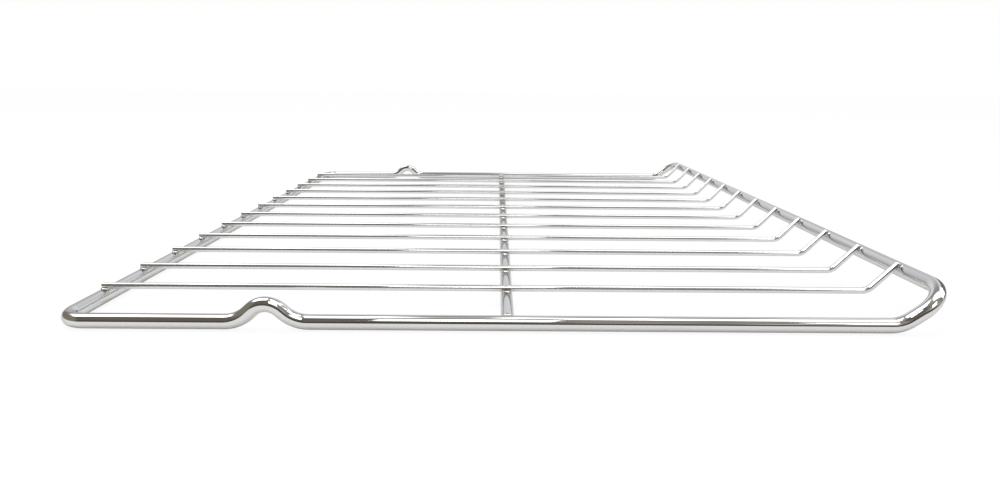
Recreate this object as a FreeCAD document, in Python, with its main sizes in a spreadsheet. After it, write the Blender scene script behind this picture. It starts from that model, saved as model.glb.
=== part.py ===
import FreeCAD, Part
import math
import os

import Sketcher

# Oven shelf rack: one bent rod makes the outer frame, with a stop hump in each side rail and a raised
# lip at one end. Straight wires lie across the two ends and a brace runs under their middle. Every
# crossing is welded, and a weld presses the wire a little way into the rod below it.
#
# Frame: X along the wires, from the level end to the raised lip. Y across the wires. Z up.
# The origin is the middle of the rack's outline, on the plane that it stands on. Millimetres.

SIZES = {
    "overall_length": 370.0,      # outside size along the wires
    "overall_width": 455.0,       # outside size across the wires
    "rail_diameter": 6.4,         # rod of the outer frame
    "corner_radius": 10.0,        # frame corners at the level end, to the rod's axis
    "lip_corner_radius": 14.0,    # frame corners at the raised lip, to the rod's axis
    "lip_bend_radius": 14.0,      # bend of the side rails into the lip, to the rod's axis
    "lip_angle": 36.5,            # slope of the side rails at the lip, in degrees
    "lip_straight": 4.6,          # straight run between the lip's bend and its corner
    "hump_distance": 87.6,        # from the level end's outside to the middle of the humps
    "hump_base_radius": 15.0,     # bends at the foot of a hump, to the rod's axis
    "hump_crest_radius": 8.3,     # bend over the top of a hump, to the rod's axis
    "hump_flank_angle": 42.0,     # slope of a hump's flanks, in degrees
    "hump_flank": 2.2,            # straight run of each flank
    "wire_diameter": 3.0,         # thin wires that carry the dish
    "wire_count": 12,             # wires, evenly spaced between the side rails
    "wire_bend_radius": 6.0,      # bend of a wire towards the lip, to the wire's axis
    "wire_lip_angle": 46.0,       # slope of the wires at the lip, in degrees
    "wire_end_inset": 2.0,        # a wire's cut end, inside the level end's outer face
    "wire_lip_overrun": 0.8,      # a wire's cut end, past the line where it touches the lip
    "wire_end_chamfer": 0.4,      # bevelled edge of a wire's cut ends
    "brace_diameter": 5.5,        # rod across the middle, under the wires
    "brace_distance": 186.2,      # from the level end's outside to the middle of the brace
    "brace_end_bite": 1.0,        # how far the brace's ends are pressed into the side rails
    "weld_setdown": 0.4,          # how far a weld presses a wire into the rod below it
}

# The frame's corners turn through a right angle, in degrees.
QUARTER_TURN = "90"

# Lengths that follow from the sizes, as expressions on the sheet.
RAIL_R = "(sizes.rail_diameter / 2)"
WIRE_R = "(sizes.wire_diameter / 2)"
BRACE_R = "(sizes.brace_diameter / 2)"
LEVEL_X = f"(-sizes.overall_length / 2 + {RAIL_R})"
LIP_X = f"(sizes.overall_length / 2 - {RAIL_R})"
SIDE_Y = f"(sizes.overall_width / 2 - {RAIL_R})"
LIP_TANGENT = "(sizes.lip_bend_radius * tan(sizes.lip_angle * 0.5 deg))"
LIP_SLOPE = f"({LIP_TANGENT} + sizes.lip_straight + sizes.lip_corner_radius)"
LIP_RUN = f"({LIP_SLOPE} * cos(sizes.lip_angle * 1 deg))"
LIP_RISE = f"({LIP_SLOPE} * sin(sizes.lip_angle * 1 deg))"
LIP_Z = f"({RAIL_R} + {LIP_RISE})"
LIP_BEND_X = f"({LIP_X} - {LIP_RUN} - {LIP_TANGENT})"
HUMP_X = "(-sizes.overall_length / 2 + sizes.hump_distance)"
HUMP_HALF = (
    "((sizes.hump_base_radius + sizes.hump_crest_radius) * sin(sizes.hump_flank_angle * 1 deg)"
    " + sizes.hump_flank * cos(sizes.hump_flank_angle * 1 deg))"
)
WIRE_LIFT = f"({RAIL_R} + {WIRE_R} - sizes.weld_setdown)"
WIRE_Z = f"({RAIL_R} + {WIRE_LIFT})"
WIRE_RISE = f"({LIP_Z} - {WIRE_Z})"
WIRE_COS = "cos(sizes.wire_lip_angle * 1 deg)"
WIRE_SIN = "sin(sizes.wire_lip_angle * 1 deg)"
WIRE_RUN = f"(({WIRE_LIFT} + {WIRE_RISE} * {WIRE_COS}) / {WIRE_SIN})"
WIRE_SLOPE = f"({WIRE_RUN} * {WIRE_COS} + {WIRE_RISE} * {WIRE_SIN})"
WIRE_TANGENT = "(sizes.wire_bend_radius * tan(sizes.wire_lip_angle * 0.5 deg))"
BRACE_X = "(-sizes.overall_length / 2 + sizes.brace_distance)"
BRACE_Z = f"(sizes.rail_diameter - {BRACE_R})"


def make_sheet(doc):
    """Puts each driving dimension in a cell that has its name as alias."""
    sheet = doc.addObject("Spreadsheet::Sheet", "sizes")
    for row, (name, value) in enumerate(SIZES.items(), start=1):
        sheet.set(f"A{row}", name)
        sheet.set(f"B{row}", str(value))
        sheet.setAlias(f"B{row}", name)
    doc.recompute()
    return sheet


def make_body(doc, name):
    """An empty body whose label names the piece."""
    body = doc.addObject("PartDesign::Body", name)
    body.Label = name
    return body


def base_plane(body, role):
    """One of the body's own three base planes."""
    for feature in body.Origin.OriginFeatures:
        if feature.Role == role:
            return feature
    raise KeyError(role)


def make_sketch(body, name, role, offset="0"):
    """A sketch on a base plane, moved along that plane's normal by an expression."""
    sketch = body.newObject("Sketcher::SketchObject", name)
    sketch.AttachmentSupport = [(base_plane(body, role), "")]
    sketch.MapMode = "FlatFace"
    sketch.setExpression("AttachmentOffset.Base.z", offset)
    return sketch


def value_of(sketch, expression):
    """What an expression on the sheet comes to, as a plain number."""
    result = sketch.evalExpression(expression)
    return float(getattr(result, "Value", result))


def add_size(sketch, constraint, expression):
    """Adds a dimension to a sketch and ties it to the sheet."""
    index = sketch.addConstraint(constraint)
    sketch.setExpression(f"Constraints[{index}]", expression)


def place_point(sketch, geometry, position, x, y):
    """Ties a point of a sketch to the sketch's origin, along both of its axes."""
    add_size(sketch, Sketcher.Constraint("DistanceX", -1, 1, geometry, position, value_of(sketch, x)), x)
    add_size(sketch, Sketcher.Constraint("DistanceY", -1, 1, geometry, position, value_of(sketch, y)), y)


def draw_circle(sketch, x, y, radius):
    """A circle whose place and radius are expressions."""
    centre = FreeCAD.Vector(value_of(sketch, x), value_of(sketch, y), 0)
    circle = Part.Circle(centre, FreeCAD.Vector(0, 0, 1), value_of(sketch, radius))
    index = sketch.addGeometry(circle, False)
    add_size(sketch, Sketcher.Constraint("Radius", index, circle.Radius), radius)
    place_point(sketch, index, 3, x, y)


def draw_rod_path(sketch, start, heading, steps):
    """Draws the axis of a bent rod: straight runs and bends, each tangent to the one before.

    start is a pair of expressions and heading the first run's direction, in whole quarter turns.
    A step is ("run", length) or ("left" or "right", radius, angle).
    """
    point = FreeCAD.Vector(value_of(sketch, start[0]), value_of(sketch, start[1]), 0)
    angle = heading * math.pi / 2
    last = None
    for kind, size, *turn in steps:
        length = value_of(sketch, size)
        if kind == "run":
            end = point + FreeCAD.Vector(math.cos(angle), math.sin(angle), 0) * length
            index = sketch.addGeometry(Part.LineSegment(point, end), False)
            first, final = 1, 2
            add_size(sketch, Sketcher.Constraint("Distance", index, length), size)
        else:
            side = 1 if kind == "left" else -1
            sweep = math.radians(value_of(sketch, turn[0]))
            out = angle - side * math.pi / 2
            centre = point - FreeCAD.Vector(math.cos(out), math.sin(out), 0) * length
            ends = sorted((out, out + side * sweep))
            circle = Part.Circle(centre, FreeCAD.Vector(0, 0, 1), length)
            index = sketch.addGeometry(Part.ArcOfCircle(circle, *ends), False)
            first, final = (1, 2) if side > 0 else (2, 1)
            add_size(sketch, Sketcher.Constraint("Radius", index, length), size)
            add_size(sketch, Sketcher.Constraint("Angle", index, sweep), turn[0])
            angle += side * sweep
            out += side * sweep
            end = centre + FreeCAD.Vector(math.cos(out), math.sin(out), 0) * length
        if last is None:
            place_point(sketch, index, first, *start)
            sketch.addConstraint(Sketcher.Constraint("Vertical" if heading % 2 else "Horizontal", index))
        else:
            sketch.addConstraint(Sketcher.Constraint("Tangent", *last, index, first))
        last = (index, final)
        point = end


def add_rod(doc, body, name, profile, path):
    """A rod of the profile's section along the path."""
    doc.recompute()
    rod = body.newObject("PartDesign::AdditivePipe", name)
    rod.Profile = profile
    rod.Spine = (path, [])
    doc.recompute()
    return rod


def add_cut(doc, body, name, sketch):
    """Cuts the sketch's circles through the body, to both sides of the sketch."""
    doc.recompute()
    before = body.Shape.Volume
    cut = body.newObject("PartDesign::Pocket", name)
    cut.Profile = sketch
    cut.SideType = "Symmetric"
    cut.Type = "ThroughAll"
    doc.recompute()
    if not body.Shape.Volume < before:
        raise RuntimeError(f"{body.Label}: {name} cuts nothing")
    return cut


def make_outer_frame(doc):
    """The outer frame: half of it in three rods end to end, and the other half mirrored."""
    body = make_body(doc, "outer_frame")

    level_section = make_sketch(body, "level_section", "XZ_Plane")
    draw_circle(level_section, LEVEL_X, RAIL_R, RAIL_R)
    level_path = make_sketch(body, "level_path", "XY_Plane", RAIL_R)
    draw_rod_path(level_path, (LEVEL_X, "0"), 3, [
        ("run", f"{SIDE_Y} - sizes.corner_radius"),
        ("left", "sizes.corner_radius", QUARTER_TURN),
    ])
    level_end = add_rod(doc, body, "level_end", level_section, level_path)

    side_start = f"{LEVEL_X} + sizes.corner_radius"
    side_section = make_sketch(body, "side_section", "YZ_Plane", side_start)
    draw_circle(side_section, f"-{SIDE_Y}", RAIL_R, RAIL_R)
    side_path = make_sketch(body, "side_path", "XZ_Plane", SIDE_Y)
    draw_rod_path(side_path, (side_start, RAIL_R), 0, [
        ("run", f"{HUMP_X} - {HUMP_HALF} - ({side_start})"),
        ("left", "sizes.hump_base_radius", "sizes.hump_flank_angle"),
        ("run", "sizes.hump_flank"),
        ("right", "sizes.hump_crest_radius", "2 * sizes.hump_flank_angle"),
        ("run", "sizes.hump_flank"),
        ("left", "sizes.hump_base_radius", "sizes.hump_flank_angle"),
        ("run", f"{LIP_BEND_X} - {HUMP_X} - {HUMP_HALF}"),
        ("left", "sizes.lip_bend_radius", "sizes.lip_angle"),
        ("run", "sizes.lip_straight"),
    ])
    side_rail = add_rod(doc, body, "side_rail", side_section, side_path)

    lip_section = make_sketch(body, "lip_section", "XZ_Plane")
    draw_circle(lip_section, LIP_X, LIP_Z, RAIL_R)
    lip_path = make_sketch(body, "lip_path", "XY_Plane", LIP_Z)
    tilt = -value_of(lip_path, "sizes.lip_angle")
    lip_path.AttachmentOffset = FreeCAD.Placement(
        FreeCAD.Vector(), FreeCAD.Rotation(FreeCAD.Vector(0, 1, 0), tilt)
    )
    lip_path.setExpression("AttachmentOffset.Base.x", LIP_X)
    lip_path.setExpression("AttachmentOffset.Rotation.Angle", "-sizes.lip_angle")
    draw_rod_path(lip_path, ("0", "0"), 3, [
        ("run", f"{SIDE_Y} - sizes.lip_corner_radius"),
        ("right", "sizes.lip_corner_radius", QUARTER_TURN),
    ])
    raised_lip = add_rod(doc, body, "raised_lip", lip_section, lip_path)

    mirror = body.newObject("PartDesign::Mirrored", "other_half")
    mirror.Originals = [level_end, side_rail, raised_lip]
    mirror.MirrorPlane = (base_plane(body, "XZ_Plane"), [""])
    body.Tip = mirror
    doc.recompute()
    return body


def make_centre_brace(doc):
    """The brace: a straight rod under the wires, its ends hollowed where they meet the side rails."""
    body = make_body(doc, "centre_brace")
    section = make_sketch(body, "brace_section", "XZ_Plane")
    draw_circle(section, BRACE_X, BRACE_Z, BRACE_R)
    doc.recompute()
    rod = body.newObject("PartDesign::Pad", "brace_rod")
    rod.Profile = section
    rod.SideType = "Symmetric"
    rod.setExpression("Length", f"2 * ({SIDE_Y} - {RAIL_R} + sizes.brace_end_bite)")
    doc.recompute()

    seats = make_sketch(body, "rail_seats", "YZ_Plane")
    draw_circle(seats, f"-{SIDE_Y}", RAIL_R, RAIL_R)
    draw_circle(seats, SIDE_Y, RAIL_R, RAIL_R)
    add_cut(doc, body, "end_seats", seats)
    return body


def make_wire(doc, number):
    """One wire: flat along the rack, bent up onto the lip, with a seat at each rod that it is welded to."""
    body = make_body(doc, f"wire_{number:02d}")
    start_x = "(-sizes.overall_length / 2 + sizes.wire_end_inset)"

    section = make_sketch(body, "wire_section", "YZ_Plane", start_x)
    draw_circle(section, "0", WIRE_Z, WIRE_R)
    path = make_sketch(body, "wire_path", "XZ_Plane")
    draw_rod_path(path, (start_x, WIRE_Z), 0, [
        ("run", f"{LIP_X} - {WIRE_RUN} - {WIRE_TANGENT} - {start_x}"),
        ("left", "sizes.wire_bend_radius", "sizes.wire_lip_angle"),
        ("run", f"{WIRE_SLOPE} - {WIRE_TANGENT} + sizes.wire_lip_overrun"),
    ])
    rod = add_rod(doc, body, "wire_rod", section, path)

    edges = enumerate(rod.Shape.Edges, start=1)
    ends = [f"Edge{index}" for index, edge in edges if borders_flat_end(rod.Shape, edge)]
    bevel = body.newObject("PartDesign::Chamfer", "end_bevel")
    bevel.Base = (rod, ends)
    bevel.setExpression("Size", "sizes.wire_end_chamfer")
    doc.recompute()

    seats = make_sketch(body, "weld_seats", "XZ_Plane")
    draw_circle(seats, LEVEL_X, RAIL_R, RAIL_R)
    draw_circle(seats, BRACE_X, BRACE_Z, BRACE_R)
    draw_circle(seats, LIP_X, LIP_Z, RAIL_R)
    add_cut(doc, body, "seats", seats)

    place = f"(sizes.overall_width - sizes.rail_diameter) * ({number} / (sizes.wire_count + 1) - 0.5)"
    body.setExpression("Placement.Base.y", place)
    return body


def borders_flat_end(shape, edge):
    """True for an edge round one of the two flat ends of a bare rod."""
    faces = shape.ancestorsOfType(edge, Part.Face)
    return any(isinstance(face.Surface, Part.Plane) for face in faces)


def check(doc, bodies):
    """Stops the script if an object failed or a piece isn't one valid solid."""
    for item in doc.Objects:
        if "Invalid" in item.State or "Error" in item.State:
            raise RuntimeError(f"{item.Name} failed: {item.State}")
    for body in bodies:
        shape = body.Shape
        if shape.isNull() or not shape.isValid() or len(shape.Solids) != 1:
            raise RuntimeError(f"{body.Label} isn't one valid solid")


def main():
    doc = FreeCAD.newDocument("oven_shelf_rack")
    make_sheet(doc)
    bodies = [make_outer_frame(doc), make_centre_brace(doc)]
    bodies += [make_wire(doc, number) for number in range(1, int(SIZES["wire_count"]) + 1)]
    doc.recompute()
    check(doc, bodies)
    os.makedirs("parts", exist_ok=True)
    for body in bodies:
        body.Shape.exportStep(f"parts/{body.Label}.step")


main()
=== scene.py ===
import math

import bpy
from mathutils import Matrix, Vector


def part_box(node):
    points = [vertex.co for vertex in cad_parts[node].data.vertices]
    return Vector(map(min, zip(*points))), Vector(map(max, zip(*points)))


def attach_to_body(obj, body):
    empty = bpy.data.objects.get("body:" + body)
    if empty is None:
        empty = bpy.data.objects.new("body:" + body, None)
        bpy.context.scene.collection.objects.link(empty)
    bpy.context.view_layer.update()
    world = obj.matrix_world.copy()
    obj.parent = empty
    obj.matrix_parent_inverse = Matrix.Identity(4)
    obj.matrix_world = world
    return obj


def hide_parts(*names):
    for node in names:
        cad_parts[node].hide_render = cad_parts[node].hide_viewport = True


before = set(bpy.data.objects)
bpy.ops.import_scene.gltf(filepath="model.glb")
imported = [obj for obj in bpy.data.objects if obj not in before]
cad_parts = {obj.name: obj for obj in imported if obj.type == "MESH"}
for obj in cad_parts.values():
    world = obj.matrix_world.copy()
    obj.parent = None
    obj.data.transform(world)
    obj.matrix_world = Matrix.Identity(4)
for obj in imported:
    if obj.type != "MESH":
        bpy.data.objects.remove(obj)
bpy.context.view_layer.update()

bl_info = {
    "name": "Oven shelf rack",
    "version": (1, 0, 0),
    "blender": (4, 5, 0),
    "location": "View3D > Sidebar > Rack",
    "description": "Dresses the rods, wires and welds of a chrome oven shelf and sets its studio",
    "category": "Object",
}

MM = 0.001
DEGREE = math.pi / 180
WHITE = (1.0, 1.0, 1.0, 1.0)

# A Mix node's sockets for colours, by number because its other sockets have the same names.
MIX_SHARE, MIX_FIRST, MIX_SECOND, MIX_RESULT = 0, 6, 7, 2

# Places from the frame, in metres.
WIRES = sorted(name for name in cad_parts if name.startswith("wire_"))
FRAME_LOW, FRAME_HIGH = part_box("outer_frame")
BRACE_LOW, BRACE_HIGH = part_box("centre_brace")
BRACE_X = (BRACE_LOW.x + BRACE_HIGH.x) / 2
WIRE_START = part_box(WIRES[0])[0].x
WIRE_PLACES = [sum(corner.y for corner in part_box(name)) / 2 for name in WIRES]

# Noise patterns: waves per metre, detail, and the noise values between which a pattern fades in.
DRAW_WAVES_ACROSS, DRAW_WAVES_ALONG, DRAW_DETAIL = 2600.0, 14.0, 3.0
SLOW_WAVES, SLOW_FADE = 38.0, (0.3, 0.7)
PEEL_WAVES = 420.0
BLOTCH_WAVES, BLOTCH_FADE = 900.0, (0.35, 0.65)
WELD_WAVES, WELD_FADE = 600.0, (0.34, 0.52)
GRAIN_WAVES = 2200.0
LUMP_WAVES, LUMP_DETAIL = 360.0, 1.0
NOISE_MIDDLE = 0.5

# Plating: its darker shade, the heat tint, and what the patterns add to its roughness and its bumps.
DARKER_SHADE = 0.97
HEAT_CORE, HEAT_LEAST, HEAT_SHARE = 0.35, 0.35, 0.45
DRAW_ROUGHNESS, SLOW_ROUGHNESS, HEAT_ROUGHNESS = 0.03, 0.02, 0.06
DRAW_BUMP, PEEL_BUMP, PLATING_BUMP, PLATING_DEPTH = 0.35, 0.3, 0.02, 0.04 * MM

# Weld metal: the share of brown in its low spots, its roughness and its bumps.
CREVICE_SHARE = 0.7
WELD_ROUGHNESS, CREVICE_ROUGHNESS = 0.07, 0.14
LUMP_BUMP, GRAIN_BUMP, WELD_BUMP, WELD_DEPTH = 0.7, 0.3, 0.15, 0.1 * MM

# Meshes: how much the welds differ in size, how fine they are, and the rounding of cut edges.
WELD_SPREAD = 0.15
WELD_SUBDIVISIONS = 4
ROUNDING_STEPS, SHARP_EDGE = 3, 60 * DEGREE

# The floor's half width and drop in metres, the camera's sensor in millimetres and its clipping in metres.
FLOOR_REACH, FLOOR_DROP = 6.0, 0.2 * MM
SENSOR_WIDTH, CLIP_START, CLIP_END = 36, 0.01, 50


class RackSizes(bpy.types.PropertyGroup):
    """Sizes of the rods, the wires and their welds."""

    rail_diameter: bpy.props.FloatProperty(
        name="Rail diameter", description="Rod of the outer frame", default=6.4 * MM, unit="LENGTH")
    corner_radius: bpy.props.FloatProperty(
        name="Corner radius", description="Frame corners at the level end, to the rod's axis",
        default=10 * MM, unit="LENGTH")
    lip_corner_radius: bpy.props.FloatProperty(
        name="Lip corner radius", description="Frame corners at the raised lip, to the rod's axis",
        default=14 * MM, unit="LENGTH")
    lip_bend_radius: bpy.props.FloatProperty(
        name="Lip bend radius", description="Bend of the side rails into the lip, to the rod's axis",
        default=14 * MM, unit="LENGTH")
    lip_angle: bpy.props.FloatProperty(
        name="Lip angle", description="Slope of the side rails at the lip",
        default=36.5 * DEGREE, unit="ROTATION")
    lip_straight: bpy.props.FloatProperty(
        name="Lip straight", description="Straight run between the lip's bend and its corner",
        default=4.6 * MM, unit="LENGTH")
    hump_distance: bpy.props.FloatProperty(
        name="Hump distance", description="From the level end's outside to the middle of the humps",
        default=87.6 * MM, unit="LENGTH")
    hump_base_radius: bpy.props.FloatProperty(
        name="Hump base radius", description="Bends at the foot of a hump, to the rod's axis",
        default=15 * MM, unit="LENGTH")
    hump_crest_radius: bpy.props.FloatProperty(
        name="Hump crest radius", description="Bend over the top of a hump, to the rod's axis",
        default=8.3 * MM, unit="LENGTH")
    hump_flank_angle: bpy.props.FloatProperty(
        name="Hump flank angle", description="Slope of a hump's flanks",
        default=42 * DEGREE, unit="ROTATION")
    hump_flank: bpy.props.FloatProperty(
        name="Hump flank", description="Straight run of each flank", default=2.2 * MM, unit="LENGTH")
    wire_diameter: bpy.props.FloatProperty(
        name="Wire diameter", description="Thin wires that carry the dish", default=3 * MM, unit="LENGTH")
    wire_bend_radius: bpy.props.FloatProperty(
        name="Wire bend radius", description="Bend of a wire towards the lip, to the wire's axis",
        default=6 * MM, unit="LENGTH")
    wire_lip_angle: bpy.props.FloatProperty(
        name="Wire lip angle", description="Slope of the wires at the lip",
        default=46 * DEGREE, unit="ROTATION")
    wire_lip_overrun: bpy.props.FloatProperty(
        name="Wire overrun", description="A wire's cut end, past the line where it touches the lip",
        default=0.8 * MM, unit="LENGTH")
    wire_end_round: bpy.props.FloatProperty(
        name="Wire end round", description="Rounded edge of a wire's cut ends",
        default=0.4 * MM, unit="LENGTH")
    weld_setdown: bpy.props.FloatProperty(
        name="Weld setdown", description="How far a weld presses a wire into the rod below it",
        default=0.4 * MM, unit="LENGTH")
    level_weld: bpy.props.FloatVectorProperty(
        name="Level end weld", description="Half lengths of a weld along the wire, along the rod and upwards",
        default=(1.8 * MM, 2.4 * MM, 0.8 * MM), size=3, unit="LENGTH")
    brace_weld: bpy.props.FloatVectorProperty(
        name="Brace weld", description="Half lengths of a weld along the wire, along the brace and upwards",
        default=(1.7 * MM, 3.1 * MM, 1.05 * MM), size=3, unit="LENGTH")
    lip_weld: bpy.props.FloatVectorProperty(
        name="Lip weld", description="Half lengths of a weld along the wire, along the lip and outwards",
        default=(1.5 * MM, 2.3 * MM, 0.8 * MM), size=3, unit="LENGTH")
    brace_end_weld: bpy.props.FloatVectorProperty(
        name="Brace end weld", description="Half lengths of a weld across the brace, along it and upwards",
        default=(1.6 * MM, 1.1 * MM, 0.7 * MM), size=3, unit="LENGTH")
    weld_lumps: bpy.props.FloatProperty(
        name="Weld lumps", description="How far the weld metal stands out in lumps",
        default=0.22 * MM, unit="LENGTH")
    rail_sides: bpy.props.IntProperty(
        name="Rail sides", description="Faces round the frame's rod and the brace", default=48, min=8)
    wire_sides: bpy.props.IntProperty(
        name="Wire sides", description="Faces round a wire", default=32, min=8)
    bend_steps: bpy.props.IntProperty(
        name="Bend steps", description="Faces along one bend of a rod", default=20, min=4)


class RackFinish(bpy.types.PropertyGroup):
    """Colours of the plating and the weld metal."""

    rod_colour: bpy.props.FloatVectorProperty(
        name="Rod chrome", description="Plating on the frame and the brace",
        default=(0.78, 0.775, 0.765), size=3, min=0, max=1, subtype="COLOR")
    wire_colour: bpy.props.FloatVectorProperty(
        name="Wire chrome", description="Plating on the thin wires",
        default=(0.80, 0.805, 0.81), size=3, min=0, max=1, subtype="COLOR")
    heat_colour: bpy.props.FloatVectorProperty(
        name="Heat tint", description="Plating beside a weld",
        default=(0.72, 0.67, 0.58), size=3, min=0, max=1, subtype="COLOR")
    weld_colour: bpy.props.FloatVectorProperty(
        name="Weld metal", description="High spots of the weld metal",
        default=(0.87, 0.86, 0.835), size=3, min=0, max=1, subtype="COLOR")
    crevice_colour: bpy.props.FloatVectorProperty(
        name="Weld crevice", description="Low spots of the weld metal",
        default=(0.40, 0.35, 0.29), size=3, min=0, max=1, subtype="COLOR")
    rod_roughness: bpy.props.FloatProperty(
        name="Rod roughness", description="Roughness of the plating on the frame and the brace",
        default=0.04, min=0, max=1)
    wire_roughness: bpy.props.FloatProperty(
        name="Wire roughness", description="Roughness of the plating on the thin wires",
        default=0.085, min=0, max=1)
    wire_haze: bpy.props.FloatProperty(
        name="Wire haze", description="Share of the light that the thin wires scatter",
        default=0.07, min=0, max=1, subtype="FACTOR")
    heat_reach: bpy.props.FloatProperty(
        name="Heat reach", description="How far the tint goes from a weld", default=4 * MM, unit="LENGTH")
    edge_tint: bpy.props.FloatVectorProperty(
        name="Edge tint", description="How much of the light the plating mirrors at a glancing angle",
        default=(0.80, 0.80, 0.81), size=3, min=0, max=1, subtype="COLOR")


class RackStage(bpy.types.PropertyGroup):
    """The camera, the floor and the light."""

    camera_place: bpy.props.FloatVectorProperty(
        name="Camera place", description="Where the camera stands",
        default=(-3.708 * MM, -485.76 * MM, 99.089 * MM), size=3, subtype="TRANSLATION", unit="LENGTH")
    camera_pitch: bpy.props.FloatProperty(
        name="Pitch", description="How far the camera looks down", default=13.753 * DEGREE, unit="ROTATION")
    camera_yaw: bpy.props.FloatProperty(
        name="Yaw", description="How far the camera turns to the right", default=0.334 * DEGREE,
        unit="ROTATION")
    camera_roll: bpy.props.FloatProperty(
        name="Roll", description="How far the camera leans", default=-0.484 * DEGREE, unit="ROTATION")
    camera_lens: bpy.props.FloatProperty(
        name="Lens", description="Focal length in millimetres on a 36 mm sensor", default=24.327, min=1)
    floor_colour: bpy.props.FloatVectorProperty(
        name="Floor", description="Colour of the pale floor",
        default=(0.84, 0.84, 0.838), size=3, min=0, max=1, subtype="COLOR")
    floor_glow: bpy.props.FloatProperty(
        name="Floor white", description="Share of plain white in the floor that the camera sees",
        default=0.84, min=0, max=1, subtype="FACTOR")
    floor_mirrored: bpy.props.FloatProperty(
        name="Mirrored white", description="Share of plain white in the floor that the plating mirrors",
        default=0.10, min=0, max=1, subtype="FACTOR")
    floor_strength: bpy.props.FloatProperty(
        name="White strength", description="Strength of the floor's plain white", default=1.05, min=0)
    fill_strength: bpy.props.FloatProperty(
        name="Fill", description="Strength of the room's even light", default=0.80, min=0)
    lamp_power: bpy.props.FloatProperty(
        name="Lamp", description="Power of the overhead softbox", default=7.5, min=0, unit="POWER")
    lamp_place: bpy.props.FloatVectorProperty(
        name="Lamp place", description="Middle of the overhead softbox, which faces the rack",
        default=(-0.25, 0.1, 1.4), size=3, subtype="TRANSLATION", unit="LENGTH")
    lamp_size: bpy.props.FloatProperty(
        name="Lamp size", description="Width of the overhead softbox", default=1.4, unit="LENGTH")
    window_place: bpy.props.FloatVectorProperty(
        name="Window place", description="Middle of the bright panel above the camera",
        default=(-30 * MM, -453 * MM, 334 * MM), size=3, subtype="TRANSLATION", unit="LENGTH")
    window_aim: bpy.props.FloatVectorProperty(
        name="Window aim", description="Where the bright panel faces",
        default=(-15 * MM, -224 * MM, 6 * MM), size=3, subtype="TRANSLATION", unit="LENGTH")
    window_size: bpy.props.FloatVectorProperty(
        name="Window size", description="Width and height of the bright panel",
        default=(175 * MM, 200 * MM), size=2, unit="LENGTH")
    side_place: bpy.props.FloatVectorProperty(
        name="Side window place", description="Middle of the bright panel on the right",
        default=(360 * MM, -463 * MM, 261 * MM), size=3, subtype="TRANSLATION", unit="LENGTH")
    side_aim: bpy.props.FloatVectorProperty(
        name="Side window aim", description="Where the panel on the right faces",
        default=(150 * MM, -224 * MM, 5 * MM), size=3, subtype="TRANSLATION", unit="LENGTH")
    side_size: bpy.props.FloatVectorProperty(
        name="Side window size", description="Width and height of the panel on the right",
        default=(115 * MM, 138 * MM), size=2, unit="LENGTH")
    room_left: bpy.props.FloatVectorProperty(
        name="Room on the left", description="Dim left half of the room in front",
        default=(0.165, 0.145, 0.120), size=3, min=0, max=1, subtype="COLOR")
    room_right: bpy.props.FloatVectorProperty(
        name="Room on the right", description="Lighter right half of the room in front",
        default=(0.36, 0.34, 0.315), size=3, min=0, max=1, subtype="COLOR")
    room_side: bpy.props.FloatVectorProperty(
        name="Left side wall", description="Wall far to the left, that the level end's corners mirror",
        default=(0.24, 0.22, 0.18), size=3, min=0, max=1, subtype="COLOR")
    room_ledge: bpy.props.FloatVectorProperty(
        name="Room low down", description="Dark strip of the room just above the floor",
        default=(0.07, 0.064, 0.056), size=3, min=0, max=1, subtype="COLOR")
    room_dim: bpy.props.FloatVectorProperty(
        name="Dim ceiling", description="Unlit ceiling between the lit one and the wall behind",
        default=(0.34, 0.335, 0.325), size=3, min=0, max=1, subtype="COLOR")
    room_back: bpy.props.FloatVectorProperty(
        name="Wall behind, left", description="Left half of the wall that the cross rods mirror",
        default=(0.83, 0.85, 0.88), size=3, min=0, max=1, subtype="COLOR")
    room_back_right: bpy.props.FloatVectorProperty(
        name="Wall behind, right", description="Right half of the wall that the cross rods mirror",
        default=(0.88, 0.90, 0.925), size=3, min=0, max=1, subtype="COLOR")
    room_lit: bpy.props.FloatVectorProperty(
        name="Lit wall", description="Lit wall behind on the right, that the lip mirrors",
        default=(0.85, 0.88, 0.915), size=3, min=0, subtype="COLOR")
    ceiling: bpy.props.FloatVectorProperty(
        name="Ceiling", description="Lit ceiling that the tops of the rods mirror",
        default=(3.2, 3.2, 3.2), size=3, min=0, subtype="COLOR")
    room_again: bpy.props.FloatProperty(
        name="Room mirrored again", description="Brightest that the room looks where plating mirrors plating",
        default=1.0, min=0)


class Term:
    """A socket of a node tree that takes part in Python expressions."""

    def __init__(self, maker, socket):
        self.maker = maker
        self.socket = socket

    def __add__(self, other):
        return self.maker.math("ADD", self, other)

    def __sub__(self, other):
        return self.maker.math("SUBTRACT", self, other)

    def __rsub__(self, other):
        return self.maker.math("SUBTRACT", other, self)

    def __mul__(self, other):
        return self.maker.math("MULTIPLY", self, other)

    def __truediv__(self, other):
        return self.maker.math("DIVIDE", self, other)

    __radd__ = __add__
    __rmul__ = __mul__


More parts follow.
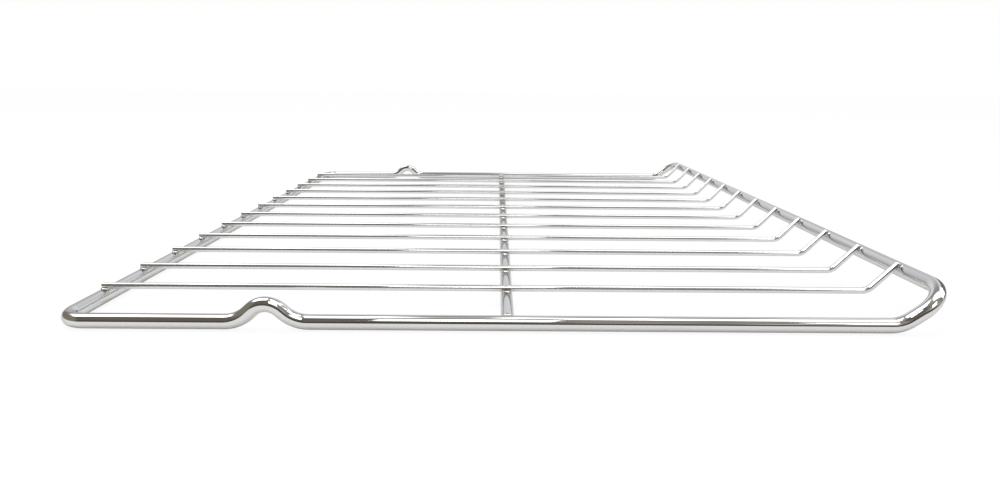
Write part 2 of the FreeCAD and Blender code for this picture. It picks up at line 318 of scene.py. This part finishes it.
class NodeMaker:
    """Adds nodes to a tree and joins their sockets."""

    def __init__(self, tree):
        self.tree = tree
        tree.nodes.clear()

    def node(self, kind, settings=None, inputs=None, output=0):
        """Adds a node, sets it up, feeds its sockets and gives back one of its outputs."""
        made = self.tree.nodes.new(kind)
        for name, value in (settings or {}).items():
            setattr(made, name, value)
        for name, value in (inputs or {}).items():
            self.feed(made.inputs[name], value)
        return Term(self, made.outputs[output]) if made.outputs else made

    def feed(self, socket, value):
        """Links a term to a socket, or sets the socket's own value."""
        if isinstance(value, Term):
            self.tree.links.new(value.socket, socket)
        else:
            socket.default_value = value

    def other(self, term, output):
        """Another output of the node that a term comes from."""
        return Term(self, term.socket.node.outputs[output])

    def math(self, operation, first, second=0.0):
        return self.node("ShaderNodeMath", {"operation": operation}, {0: first, 1: second})

    def step(self, value, low, high):
        """Rises smoothly from 0 at low to 1 at high."""
        return self.node("ShaderNodeMapRange", {"interpolation_type": "SMOOTHSTEP"},
                         {"Value": value, "From Min": low, "From Max": high})

    def mix(self, share, first, second):
        """A colour between two colours."""
        return self.node("ShaderNodeMix", {"data_type": "RGBA"},
                         {MIX_SHARE: share, MIX_FIRST: first, MIX_SECOND: second}, MIX_RESULT)

    def vector(self, operation, first, second):
        return self.node("ShaderNodeVectorMath", {"operation": operation}, {0: first, 1: second})

    def split(self, vector):
        parts = self.node("ShaderNodeSeparateXYZ", None, {"Vector": vector})
        return parts, self.other(parts, 1), self.other(parts, 2)

    def noise(self, vector, scale, detail=2.0, output=0):
        return self.node("ShaderNodeTexNoise", None,
                         {"Vector": vector, "Scale": scale, "Detail": detail}, output)


def solid(colour):
    """A colour with its alpha."""
    return (*colour, 1.0)


def new_material(name):
    """An empty material and the maker of its nodes."""
    material = bpy.data.materials.new(name)
    material.use_nodes = True
    return material, NodeMaker(material.node_tree)


def finish_surface(maker, shader):
    """Joins a shader to the material's output."""
    maker.node("ShaderNodeOutputMaterial", None, {"Surface": shader})


def weld_lines():
    """Places along X of the three rods that the wires are welded to."""
    rail = bpy.context.scene.rack_sizes.rail_diameter / 2
    return FRAME_LOW.x + rail, BRACE_X, FRAME_HIGH.x - rail


def chrome(name, colour, roughness_low, haze):
    """Bright plating on drawn rod: faint draw marks, slow unevenness and a tint beside the welds."""
    finish = bpy.context.scene.rack_finish
    material, maker = new_material(name)
    place = maker.node("ShaderNodeTexCoord", output="Object")
    side = maker.node("ShaderNodeAttribute", {"attribute_name": "rod_side"}, output="Vector")
    x, y, _ = maker.split(place)

    pitch = WIRE_PLACES[1] - WIRE_PLACES[0]
    across = maker.math("PINGPONG", y - WIRE_PLACES[0], pitch / 2)
    heat = None
    for line in weld_lines():
        along = x - line
        far = maker.math("SQRT", along * along + across * across)
        spot = 1 - maker.step(far, finish.heat_reach * HEAT_CORE, finish.heat_reach)
        heat = spot if heat is None else maker.math("MAXIMUM", heat, spot)
    blotch = maker.step(maker.noise(place, BLOTCH_WAVES), *BLOTCH_FADE)
    heat = heat * (HEAT_LEAST + (1 - HEAT_LEAST) * blotch)

    marks = maker.vector("ADD", maker.vector("MULTIPLY", side, (DRAW_WAVES_ACROSS,) * 3),
                         maker.vector("MULTIPLY", place, (DRAW_WAVES_ALONG,) * 3))
    draw = maker.noise(marks, 1.0, DRAW_DETAIL)
    slow = maker.noise(place, SLOW_WAVES)
    peel = maker.noise(place, PEEL_WAVES)

    darker = solid([DARKER_SHADE * part for part in colour])
    tone = maker.mix(maker.step(slow, *SLOW_FADE), darker, solid(colour))
    tone = maker.mix(heat * HEAT_SHARE, tone, solid(finish.heat_colour))
    roughness = roughness_low + DRAW_ROUGHNESS * draw + SLOW_ROUGHNESS * slow + HEAT_ROUGHNESS * heat
    normal = maker.node("ShaderNodeBump", None, {
        "Strength": PLATING_BUMP, "Distance": PLATING_DEPTH, "Height": DRAW_BUMP * draw + PEEL_BUMP * peel})
    shader = maker.node("ShaderNodeBsdfPrincipled", None, {
        "Base Color": tone, "Metallic": 1 - haze, "Roughness": roughness, "Normal": normal,
        "Specular Tint": solid(finish.edge_tint)})
    finish_surface(maker, shader)
    return material


def weld_metal():
    """Plated weld metal: lumpy, with dull brown low spots."""
    finish = bpy.context.scene.rack_finish
    material, maker = new_material("plated_weld")
    place = maker.node("ShaderNodeTexCoord", output="Object")
    lumps = maker.noise(place, WELD_WAVES)
    grain = maker.noise(place, GRAIN_WAVES)
    low = 1 - maker.step(lumps, *WELD_FADE)
    colour = maker.mix(low * CREVICE_SHARE, solid(finish.weld_colour), solid(finish.crevice_colour))
    normal = maker.node("ShaderNodeBump", None, {
        "Strength": WELD_BUMP, "Distance": WELD_DEPTH, "Height": LUMP_BUMP * lumps + GRAIN_BUMP * grain})
    shader = maker.node("ShaderNodeBsdfPrincipled", None, {
        "Base Color": colour, "Metallic": 1.0, "Roughness": WELD_ROUGHNESS + CREVICE_ROUGHNESS * low,
        "Normal": normal, "Specular Tint": solid(finish.edge_tint)})
    finish_surface(maker, shader)
    return material


def chrome_rod():
    """The plating that the frame and the brace share."""
    found = bpy.data.materials.get("chrome_rod_plating")
    finish = bpy.context.scene.rack_finish
    return found or chrome("chrome_rod_plating", finish.rod_colour, finish.rod_roughness, 0.0)


class Room:
    """The room that the plating mirrors, painted part by part over the directions of the world.

    turn is a direction's angle in degrees from the horizon in front, over the top and down behind.
    swing is its angle from the horizon on the right, over the top and down on the left.
    aside is its share to the right, and depth its share to the back.
    """

    def __init__(self, maker, colour):
        self.maker = maker
        self.colour = colour
        self.aside, self.depth, height = maker.split(maker.node("ShaderNodeTexCoord", output="Generated"))
        self.turn = maker.math("ARCTAN2", height, 0 - self.depth) / DEGREE
        self.swing = maker.math("ARCTAN2", height, self.aside) / DEGREE

    def paint(self, colour, share=1.0, slant=0.0, left=None, right=None, low=None, high=None):
        """Paints one part. Each edge is a pair of places between which the part fades in or out.

        left and right are places aside. low and high are turns, which slant shifts for each unit aside.
        """
        turn = self.turn + slant * self.aside if slant else self.turn
        for place, rise, fall in ((self.aside, left, right), (turn, low, high)):
            if rise:
                share = self.maker.step(place, *rise) * share
            if fall:
                share = (1 - self.maker.step(place, *fall)) * share
        self.colour = self.maker.mix(share, self.colour, colour)


def mirrored_room(maker, stage):
    """Colour of the room in each direction: dim in front, lit overhead, a pale wall behind."""
    room = Room(maker, solid(stage.room_left))
    ledge, dim, ceiling = solid(stage.room_ledge), solid(stage.room_dim), solid(stage.ceiling)

    # In front: a lighter right half, dim patches, a dark uneven strip low down, and the floor.
    patch_waves_aside, patch_waves_turn, patch_detail = 11, 0.02, 3.0
    patch_fade, patch_share = (0.40, 0.62), 0.35
    strip_fade, strip_uneven = (20.0, 32.0), 10
    spot = maker.node("ShaderNodeCombineXYZ", None, {
        "X": room.aside * patch_waves_aside, "Y": room.turn * patch_waves_turn})
    patches = maker.noise(spot, 1.0, patch_detail)
    room.paint(solid(stage.room_right), left=(-0.05, 0.22))
    room.paint(ledge, share=maker.step(patches, *patch_fade) * patch_share)
    room.paint(ledge, share=1 - maker.step(room.turn + strip_uneven * patches, *strip_fade))
    room.paint(solid(stage.floor_colour), high=(-4.0, 4.0))

    # Overhead and behind: the lit ceiling, its dim far part, the wall behind, and the left side wall.
    halves_fade = (-0.25, 0.30)
    right_half = maker.step(room.aside, *halves_fade)
    wall = maker.mix(right_half, solid(stage.room_back), solid(stage.room_back_right))
    room.paint(ceiling, slant=6, low=(76.0, 83.0))
    room.paint(dim, slant=23, low=(106.0, 117.0))
    room.paint(wall, slant=24, low=(126.0, 150.0))
    room.paint(solid(stage.room_side), right=(-0.80, -0.60))

    # Behind on the right: a lit wall, a dimmer stretch beside it, and a dark strip at the horizon.
    room.paint(solid(stage.room_lit), left=(0.34, 0.42), low=(92.0, 108.0), high=(182.0, 198.0))
    room.paint(dim, share=0.4, left=(0.04, 0.16), right=(0.34, 0.46), low=(122.0, 134.0), high=(150.0, 162.0))
    room.paint(dim, share=0.75, left=(0.33, 0.39), right=(0.63, 0.69), low=(160.0, 166.0))

    # Behind on the left: the wall gets darker towards the horizon. The lip's inner side mirrors it.
    wall_fade, wall_share = (110.0, 176.0), 0.65
    horizon_fade, horizon_share = (160.0, 176.0), 0.2
    depth_rise, depth_fall = (0.60, 0.75), (0.86, 0.98)
    fall = maker.step(room.swing, *wall_fade) * wall_share
    fall = fall + maker.step(room.swing, *horizon_fade) * horizon_share
    fall = fall * maker.step(room.depth, *depth_rise) * (1 - maker.step(room.depth, *depth_fall))
    room.paint(dim, share=fall)

    # A dark corner far to the right.
    room.paint(ledge, share=0.85, left=(0.56, 0.64), low=(116.0, 124.0))

    # The ceiling above the window in front looks dim.
    room.paint(
        dim, share=0.92, left=(-0.17, -0.08), right=(-0.01, 0.03), low=(65.0, 75.0), high=(135.0, 145.0))
    room.paint(dim, left=(-0.20, -0.14), right=(0.08, 0.14), low=(65.0, 71.0), high=(90.0, 96.0))

    # On the right: a pale sill, and a lit ceiling with dark ribs.
    right_side = (0.47, 0.56)
    rib_place, rib_half_pitch, rib_edge, rib_share = 0.62, 0.09, (0.020, 0.035), 0.9
    between = maker.math("PINGPONG", room.aside - rib_place, rib_half_pitch)
    ribs = (1 - maker.step(between, *rib_edge)) * rib_share
    room.paint(ceiling, share=0.12, left=(0.34, 0.37), low=(19.5, 24.5), high=(30.5, 35.5))
    room.paint(ceiling, left=right_side, low=(76.0, 84.0), high=(113.0, 121.0))
    room.paint(ledge, share=ribs, left=right_side, low=(75.0, 81.0), high=(119.0, 125.0))
    return room.colour


def scattered(maker):
    """1 for light that a matt surface has scattered on its way to the eye, else 0."""
    return maker.math("MINIMUM", maker.node("ShaderNodeLightPath", output="Diffuse Depth"), 1.0)


def mirrored_again(maker):
    """1 for light that the plating has mirrored twice or more, else 0."""
    return maker.math("GREATER_THAN", maker.node("ShaderNodeLightPath", output="Glossy Depth"), 1.0)


def new_tree(name, sockets):
    """An empty Geometry Nodes tree with a geometry input and output and named inputs for its sizes."""
    tree = bpy.data.node_groups.new(name, "GeometryNodeTree")
    tree.interface.new_socket("Geometry", in_out="OUTPUT", socket_type="NodeSocketGeometry")
    tree.interface.new_socket("Geometry", in_out="INPUT", socket_type="NodeSocketGeometry")
    for label, kind in sockets:
        tree.interface.new_socket(label, in_out="INPUT", socket_type=kind)
    maker = NodeMaker(tree)
    return tree, maker, maker.node("NodeGroupInput")


def named(maker, name, kind):
    """An attribute that the start mesh carries."""
    return maker.node("GeometryNodeInputNamedAttribute", {"data_type": kind}, {"Name": name})


def rod_tree():
    """Bends a run of straight lines at its corners and sweeps a round rod along it."""
    found = bpy.data.node_groups.get("bent_rod")
    if found:
        return found
    tree, maker, given = new_tree("bent_rod", [
        ("Rod Diameter", "NodeSocketFloat"), ("Sides", "NodeSocketInt"), ("Bend Steps", "NodeSocketInt"),
        ("Material", "NodeSocketMaterial")])
    path = maker.node("GeometryNodeMeshToCurve", None, {"Mesh": given})
    bends = maker.node("GeometryNodeFilletCurve", {"mode": "POLY"}, {
        "Curve": path, "Count": maker.other(given, "Bend Steps"),
        "Radius": named(maker, "bend_radius", "FLOAT")})
    ring = maker.node("GeometryNodeCurvePrimitiveCircle", None, {
        "Resolution": maker.other(given, "Sides"), "Radius": maker.other(given, "Rod Diameter") / 2})
    ring = maker.node("GeometryNodeStoreNamedAttribute", {"data_type": "FLOAT_VECTOR"}, {
        "Geometry": ring, "Name": "rod_side", "Value": maker.node("GeometryNodeInputPosition")})
    rod = maker.node("GeometryNodeCurveToMesh", None, {
        "Curve": bends, "Profile Curve": ring, "Fill Caps": True})
    rod = maker.node("GeometryNodeSetShadeSmooth", None, {"Geometry": rod})
    rod = maker.node("GeometryNodeRealizeInstances", None, {"Geometry": rod})
    rod = maker.node("GeometryNodeSetMaterial", None, {
        "Geometry": rod, "Material": maker.other(given, "Material")})
    maker.node("NodeGroupOutput", None, {"Geometry": rod})
    return tree


def weld_tree():
    """Sets a lump of weld metal on each point, turned to the point's own upward direction."""
    tree, maker, given = new_tree("weld_lumps", [
        ("Size", "NodeSocketVector"), ("Lumps", "NodeSocketFloat"), ("Seed", "NodeSocketInt"),
        ("Material", "NodeSocketMaterial")])
    seed = maker.other(given, "Seed")
    turn = maker.node("FunctionNodeAlignRotationToVector", {"axis": "Z"}, {
        "Vector": named(maker, "weld_up", "FLOAT_VECTOR")})
    share = maker.node("FunctionNodeRandomValue", {"data_type": "FLOAT_VECTOR"}, {
        "Min": (1 - WELD_SPREAD,) * 3, "Max": (1 + WELD_SPREAD,) * 3, "Seed": seed})
    size = maker.vector("MULTIPLY", maker.other(given, "Size"), share)
    ball = maker.node("GeometryNodeMeshIcoSphere", None, {"Radius": 1.0, "Subdivisions": WELD_SUBDIVISIONS})
    lumps = maker.node("GeometryNodeInstanceOnPoints", None, {
        "Points": given, "Instance": ball, "Rotation": turn, "Scale": size})
    lumps = maker.node("GeometryNodeRealizeInstances", None, {"Geometry": lumps})
    place = maker.node("GeometryNodeInputPosition")
    wave = maker.noise(place, LUMP_WAVES, LUMP_DETAIL, output="Color")
    wave = maker.vector("SUBTRACT", wave, (NOISE_MIDDLE,) * 3)
    reach = maker.other(given, "Lumps") / NOISE_MIDDLE
    offset = maker.node("ShaderNodeVectorMath", {"operation": "SCALE"}, {0: wave, "Scale": reach})
    lumps = maker.node("GeometryNodeSetPosition", None, {"Geometry": lumps, "Offset": offset})
    lumps = maker.node("GeometryNodeSetShadeSmooth", None, {"Geometry": lumps})
    lumps = maker.node("GeometryNodeSetMaterial", None, {
        "Geometry": lumps, "Material": maker.other(given, "Material")})
    maker.node("NodeGroupOutput", None, {"Geometry": lumps})
    return tree


def start_mesh(name, points, edges=(), **attributes):
    """A mesh of points and lines that a tree starts from, with an attribute for each keyword."""
    mesh = bpy.data.meshes.new(name)
    mesh.from_pydata([tuple(point) for point in points], list(edges), [])
    for label, values in attributes.items():
        if isinstance(values[0], float):
            mesh.attributes.new(label, "FLOAT", "POINT").data.foreach_set("value", values)
        else:
            flat = [part for value in values for part in value]
            mesh.attributes.new(label, "FLOAT_VECTOR", "POINT").data.foreach_set("vector", flat)
    made = bpy.data.objects.new(name, mesh)
    bpy.context.scene.collection.objects.link(made)
    return made


def grow(piece, tree, bevel=0.0, **inputs):
    """Runs a tree on a piece, rounds its sharp edges and keeps the result as a plain mesh."""
    modifier = piece.modifiers.new(tree.name, "NODES")
    modifier.node_group = tree
    for item in tree.interface.items_tree:
        if item.in_out == "INPUT" and item.name in inputs:
            modifier[item.identifier] = inputs[item.name]
    if bevel:
        rounding = piece.modifiers.new("edge_rounding", "BEVEL")
        rounding.width = bevel
        rounding.segments = ROUNDING_STEPS
        rounding.limit_method = "ANGLE"
        rounding.angle_limit = SHARP_EDGE
    graph = bpy.context.evaluated_depsgraph_get()
    mesh = bpy.data.meshes.new_from_object(piece.evaluated_get(graph), depsgraph=graph)
    if not mesh.polygons:
        raise RuntimeError(f"{piece.name} came out empty")
    mesh.name = piece.name
    piece.modifiers.clear()
    piece.data = mesh
    return piece


def attach(piece, slot, *nodes):
    """Lets a piece ride with the rack and stand for its solids."""
    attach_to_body(piece, "root")
    if nodes:
        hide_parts(*nodes)


def chain(count, closed=False):
    """Edges that join points in a row."""
    edges = [(index, index + 1) for index in range(count - 1)]
    return edges + [(count - 1, 0)] if closed else edges


def lip_place(sizes):
    """Rise and run of the side rails' slope, from its bend to the lip's axis."""
    tangent = sizes.lip_bend_radius * math.tan(sizes.lip_angle / 2)
    slope = tangent + sizes.lip_straight + sizes.lip_corner_radius
    return slope * math.sin(sizes.lip_angle), slope * math.cos(sizes.lip_angle)


class RACK_OT_outer_frame(bpy.types.Operator):
    """Bend the frame's rod round the rack, over its humps and up to its lip"""

    bl_idname = "rack.outer_frame"
    bl_label = "Outer frame"

    def execute(self, context):
        sizes = context.scene.rack_sizes
        rail = sizes.rail_diameter / 2
        level_x, lip_x = FRAME_LOW.x + rail, FRAME_HIGH.x - rail
        near_y, far_y = FRAME_LOW.y + rail, FRAME_HIGH.y - rail
        rise, run = lip_place(sizes)
        hump_x = FRAME_LOW.x + sizes.hump_distance
        flank = sizes.hump_flank + sizes.hump_base_radius * math.tan(sizes.hump_flank_angle / 2)
        flank += sizes.hump_crest_radius * math.tan(sizes.hump_flank_angle)
        foot = flank * math.cos(sizes.hump_flank_angle)
        crest = rail + flank * math.sin(sizes.hump_flank_angle)
        side = [
            (level_x, rail, sizes.corner_radius),
            (hump_x - foot, rail, sizes.hump_base_radius),
            (hump_x, crest, sizes.hump_crest_radius),
            (hump_x + foot, rail, sizes.hump_base_radius),
            (lip_x - run, rail, sizes.lip_bend_radius),
            (lip_x, rail + rise, sizes.lip_corner_radius),
        ]
        points = [(x, near_y, z) for x, z, _ in side] + [(x, far_y, z) for x, z, _ in reversed(side)]
        radii = [radius for _, _, radius in side + side[::-1]]
        piece = start_mesh("bright_outer_frame", points, chain(len(points), True), bend_radius=radii)
        grow(piece, rod_tree(), **{
            "Rod Diameter": sizes.rail_diameter, "Sides": sizes.rail_sides, "Bend Steps": sizes.bend_steps,
            "Material": chrome_rod()})
        attach(piece, "chrome_rod", "outer_frame")
        return {"FINISHED"}


class RACK_OT_centre_brace(bpy.types.Operator):
    """Lay the brace across the middle, under the wires"""

    bl_idname = "rack.centre_brace"
    bl_label = "Centre brace"

    def execute(self, context):
        sizes = context.scene.rack_sizes
        diameter = BRACE_HIGH.z - BRACE_LOW.z
        height = (BRACE_HIGH.z + BRACE_LOW.z) / 2
        points = [(BRACE_X, BRACE_LOW.y, height), (BRACE_X, BRACE_HIGH.y, height)]
        piece = start_mesh("bright_centre_brace", points, chain(2), bend_radius=[0.0, 0.0])
        grow(piece, rod_tree(), **{
            "Rod Diameter": diameter, "Sides": sizes.rail_sides, "Bend Steps": sizes.bend_steps,
            "Material": chrome_rod()})
        attach(piece, "chrome_rod", "centre_brace")
        return {"FINISHED"}


class RACK_OT_wires(bpy.types.Operator):
    """Lay the thin wires from the level end to the lip, each bent up where it meets the lip"""

    bl_idname = "rack.wires"
    bl_label = "Wires"

    def execute(self, context):
        sizes = context.scene.rack_sizes
        rail, wire = sizes.rail_diameter / 2, sizes.wire_diameter / 2
        lift = rail + wire - sizes.weld_setdown
        height = rail + lift
        rise = rail + lip_place(sizes)[0] - height
        sine, cosine = math.sin(sizes.wire_lip_angle), math.cos(sizes.wire_lip_angle)
        run = (lift + rise * cosine) / sine
        slope = run * cosine + rise * sine + sizes.wire_lip_overrun
        bend_x = FRAME_HIGH.x - rail - run
        finish = context.scene.rack_finish
        plating = chrome("chrome_wire_plating", finish.wire_colour, finish.wire_roughness, finish.wire_haze)
        for name, y in zip(WIRES, WIRE_PLACES):
            points = [(WIRE_START, y, height), (bend_x, y, height),
                      (bend_x + slope * cosine, y, height + slope * sine)]
            radii = [0.0, sizes.wire_bend_radius, 0.0]
            piece = start_mesh(f"bright_{name}", points, chain(3), bend_radius=radii)
            grow(piece, rod_tree(), sizes.wire_end_round, **{
                "Rod Diameter": sizes.wire_diameter, "Sides": sizes.wire_sides,
                "Bend Steps": sizes.bend_steps, "Material": plating})
            attach(piece, "chrome_wire", name)
        return {"FINISHED"}


class RACK_OT_welds(bpy.types.Operator):
    """Set the lumps of weld metal where the wires and the brace meet the rods"""

    bl_idname = "rack.welds"
    bl_label = "Welds"

    def execute(self, context):
        sizes = context.scene.rack_sizes
        rail = sizes.rail_diameter / 2
        brace_top = BRACE_HIGH.z
        up = Vector((0, 0, 1))
        out = Vector((-math.sin(sizes.wire_lip_angle), 0, math.cos(sizes.wire_lip_angle)))
        lip = Vector((FRAME_HIGH.x - rail, 0, rail + lip_place(sizes)[0]))
        seat = sizes.weld_setdown / 2
        rows = [
            ("level_end_welds", Vector((FRAME_LOW.x + rail, 0, 2 * rail - seat)), up, sizes.level_weld),
            ("brace_welds", Vector((BRACE_X, 0, brace_top - seat)), up, sizes.brace_weld),
            ("lip_welds", lip + out * (rail - seat), out, sizes.lip_weld),
            ("brace_end_welds", Vector((BRACE_X, 0, brace_top - seat)), up, sizes.brace_end_weld),
        ]
        tree, metal = weld_tree(), weld_metal()
        for seed, (name, place, normal, size) in enumerate(rows, start=1):
            along = (BRACE_LOW.y, BRACE_HIGH.y) if name == "brace_end_welds" else WIRE_PLACES
            points = [place + Vector((0, y, 0)) for y in along]
            piece = start_mesh(name, points, weld_up=[tuple(normal)] * len(points))
            grow(piece, tree, Size=tuple(size), Lumps=sizes.weld_lumps, Seed=seed, Material=metal)
            attach(piece, "chrome_rod")
        return {"FINISHED"}


class RACK_OT_stage(bpy.types.Operator):
    """Set the pale floor, the studio light and the camera"""

    bl_idname = "rack.stage"
    bl_label = "Stage"

    def execute(self, context):
        stage = context.scene.rack_stage
        self.floor(context, stage)
        self.room(context, stage)
        self.lamp(context, stage)
        self.window(context, stage, "window", stage.window_place, stage.window_aim, stage.window_size)
        self.window(context, stage, "side_window", stage.side_place, stage.side_aim, stage.side_size)
        self.camera(context, stage)
        context.scene.view_settings.view_transform = "Standard"
        return {"FINISHED"}

    def floor(self, context, stage):
        """A matt floor that keeps the shadow, with plain white added for the camera and the plating."""
        mesh = bpy.data.meshes.new("floor")
        sides = ((-1, -1), (1, -1), (1, 1), (-1, 1))
        corners = [(x * FLOOR_REACH, y * FLOOR_REACH, -FLOOR_DROP) for x, y in sides]
        mesh.from_pydata(corners, [], [(0, 1, 2, 3)])
        material, maker = new_material("pale_floor")
        sight = maker.node("ShaderNodeLightPath", output="Is Camera Ray")
        mirror = maker.other(sight, "Is Glossy Ray")
        matt = maker.node("ShaderNodeBsdfDiffuse", None, {"Color": solid(stage.floor_colour)})
        white = maker.node("ShaderNodeEmission", None, {"Color": WHITE, "Strength": stage.floor_strength})
        share = sight * stage.floor_glow + mirror * stage.floor_mirrored
        finish_surface(maker, maker.node("ShaderNodeMixShader", None, {"Fac": share, 1: matt, 2: white}))
        mesh.materials.append(material)
        floor = bpy.data.objects.new("floor", mesh)
        context.scene.collection.objects.link(floor)

    def room(self, context, stage):
        """The room that the plating mirrors, which the camera itself sees as plain white."""
        world = bpy.data.worlds.new("studio_room")
        world.use_nodes = True
        context.scene.world = world
        maker = NodeMaker(world.node_tree)
        path = maker.node("ShaderNodeLightPath", output="Is Camera Ray")
        mirror = maker.other(path, "Is Glossy Ray") * (1 - scattered(maker))
        once = mirrored_room(maker, stage)
        again = maker.vector("MINIMUM", once, (stage.room_again,) * 3)
        room = maker.mix(mirrored_again(maker), once, again)
        light = maker.mix(mirror, solid([stage.fill_strength] * 3), room)
        light = maker.mix(path, light, WHITE)
        shine = maker.node("ShaderNodeBackground", None, {"Color": light, "Strength": 1.0})
        maker.node("ShaderNodeOutputWorld", None, {"Surface": shine})

    def lamp(self, context, stage):
        """The overhead softbox, which the plating doesn't mirror."""
        light = bpy.data.lights.new("softbox", "AREA")
        light.shape = "SQUARE"
        light.size = stage.lamp_size
        light.energy = stage.lamp_power
        lamp = bpy.data.objects.new("softbox", light)
        lamp.location = stage.lamp_place
        lamp.rotation_euler = Vector(lamp.location).to_track_quat("Z", "Y").to_euler()
        lamp.visible_glossy = False
        context.scene.collection.objects.link(lamp)

    def window(self, context, stage, name, place, aim, size):
        """A bright panel that only the plating mirrors."""
        light = bpy.data.lights.new(name, "AREA")
        light.shape = "RECTANGLE"
        light.size, light.size_y = size
        light.energy = stage.ceiling[0] * math.pi * light.size * light.size_y
        light.use_nodes = True
        maker = NodeMaker(light.node_tree)
        dimming = mirrored_again(maker) * (1 - stage.room_again / stage.ceiling[0])
        shine = maker.node("ShaderNodeEmission", None, {"Strength": (1 - dimming) * (1 - scattered(maker))})
        maker.node("ShaderNodeOutputLight", None, {"Surface": shine})
        panel = bpy.data.objects.new(name, light)
        panel.location = place
        facing = Vector(place) - Vector(aim)
        panel.rotation_euler = facing.to_track_quat("Z", "Y").to_euler()
        panel.visible_camera = False
        panel.visible_diffuse = False
        context.scene.collection.objects.link(panel)

    def camera(self, context, stage):
        """The camera, turned by its yaw, pitch and roll from looking straight along Y."""
        pitch, yaw, roll = stage.camera_pitch, stage.camera_yaw, stage.camera_roll
        ahead = Vector((math.sin(yaw) * math.cos(pitch), math.cos(yaw) * math.cos(pitch), -math.sin(pitch)))
        level = Vector((math.cos(yaw), -math.sin(yaw), 0))
        down = ahead.cross(level)
        right = level * math.cos(roll) + down * math.sin(roll)
        low = down * math.cos(roll) - level * math.sin(roll)
        data = bpy.data.cameras.new("camera")
        data.sensor_width = SENSOR_WIDTH
        data.lens = stage.camera_lens
        data.clip_start, data.clip_end = CLIP_START, CLIP_END
        camera = bpy.data.objects.new("camera", data)
        turned = Matrix((right, -low, -ahead)).transposed().to_4x4()
        camera.matrix_world = Matrix.Translation(Vector(stage.camera_place)) @ turned
        context.scene.collection.objects.link(camera)
        context.scene.camera = camera


class RACK_PT_panel(bpy.types.Panel):
    """Sizes, colours and steps of the rack"""

    bl_idname = "RACK_PT_panel"
    bl_label = "Oven shelf rack"
    bl_space_type = "VIEW_3D"
    bl_region_type = "UI"
    bl_category = "Rack"

    def draw(self, context):
        for group in (context.scene.rack_sizes, context.scene.rack_finish, context.scene.rack_stage):
            box = self.layout.box()
            for name in group.__annotations__:
                box.prop(group, name)
        for step in STEPS:
            self.layout.operator(step.bl_idname)


GROUPS = {"rack_sizes": RackSizes, "rack_finish": RackFinish, "rack_stage": RackStage}
STEPS = (RACK_OT_outer_frame, RACK_OT_centre_brace, RACK_OT_wires, RACK_OT_welds, RACK_OT_stage)


def register():
    for cls in (*GROUPS.values(), *STEPS, RACK_PT_panel):
        bpy.utils.register_class(cls)
    for owner, cls in GROUPS.items():
        setattr(bpy.types.Scene, owner, bpy.props.PointerProperty(type=cls))


def unregister():
    for owner in GROUPS:
        delattr(bpy.types.Scene, owner)
    for cls in (RACK_PT_panel, *reversed(STEPS), *reversed(GROUPS.values())):
        bpy.utils.unregister_class(cls)


def main():
    register()
    bpy.ops.rack.outer_frame()
    bpy.ops.rack.centre_brace()
    bpy.ops.rack.wires()
    bpy.ops.rack.welds()
    bpy.ops.rack.stage()


if __name__ == "__main__":
    main()
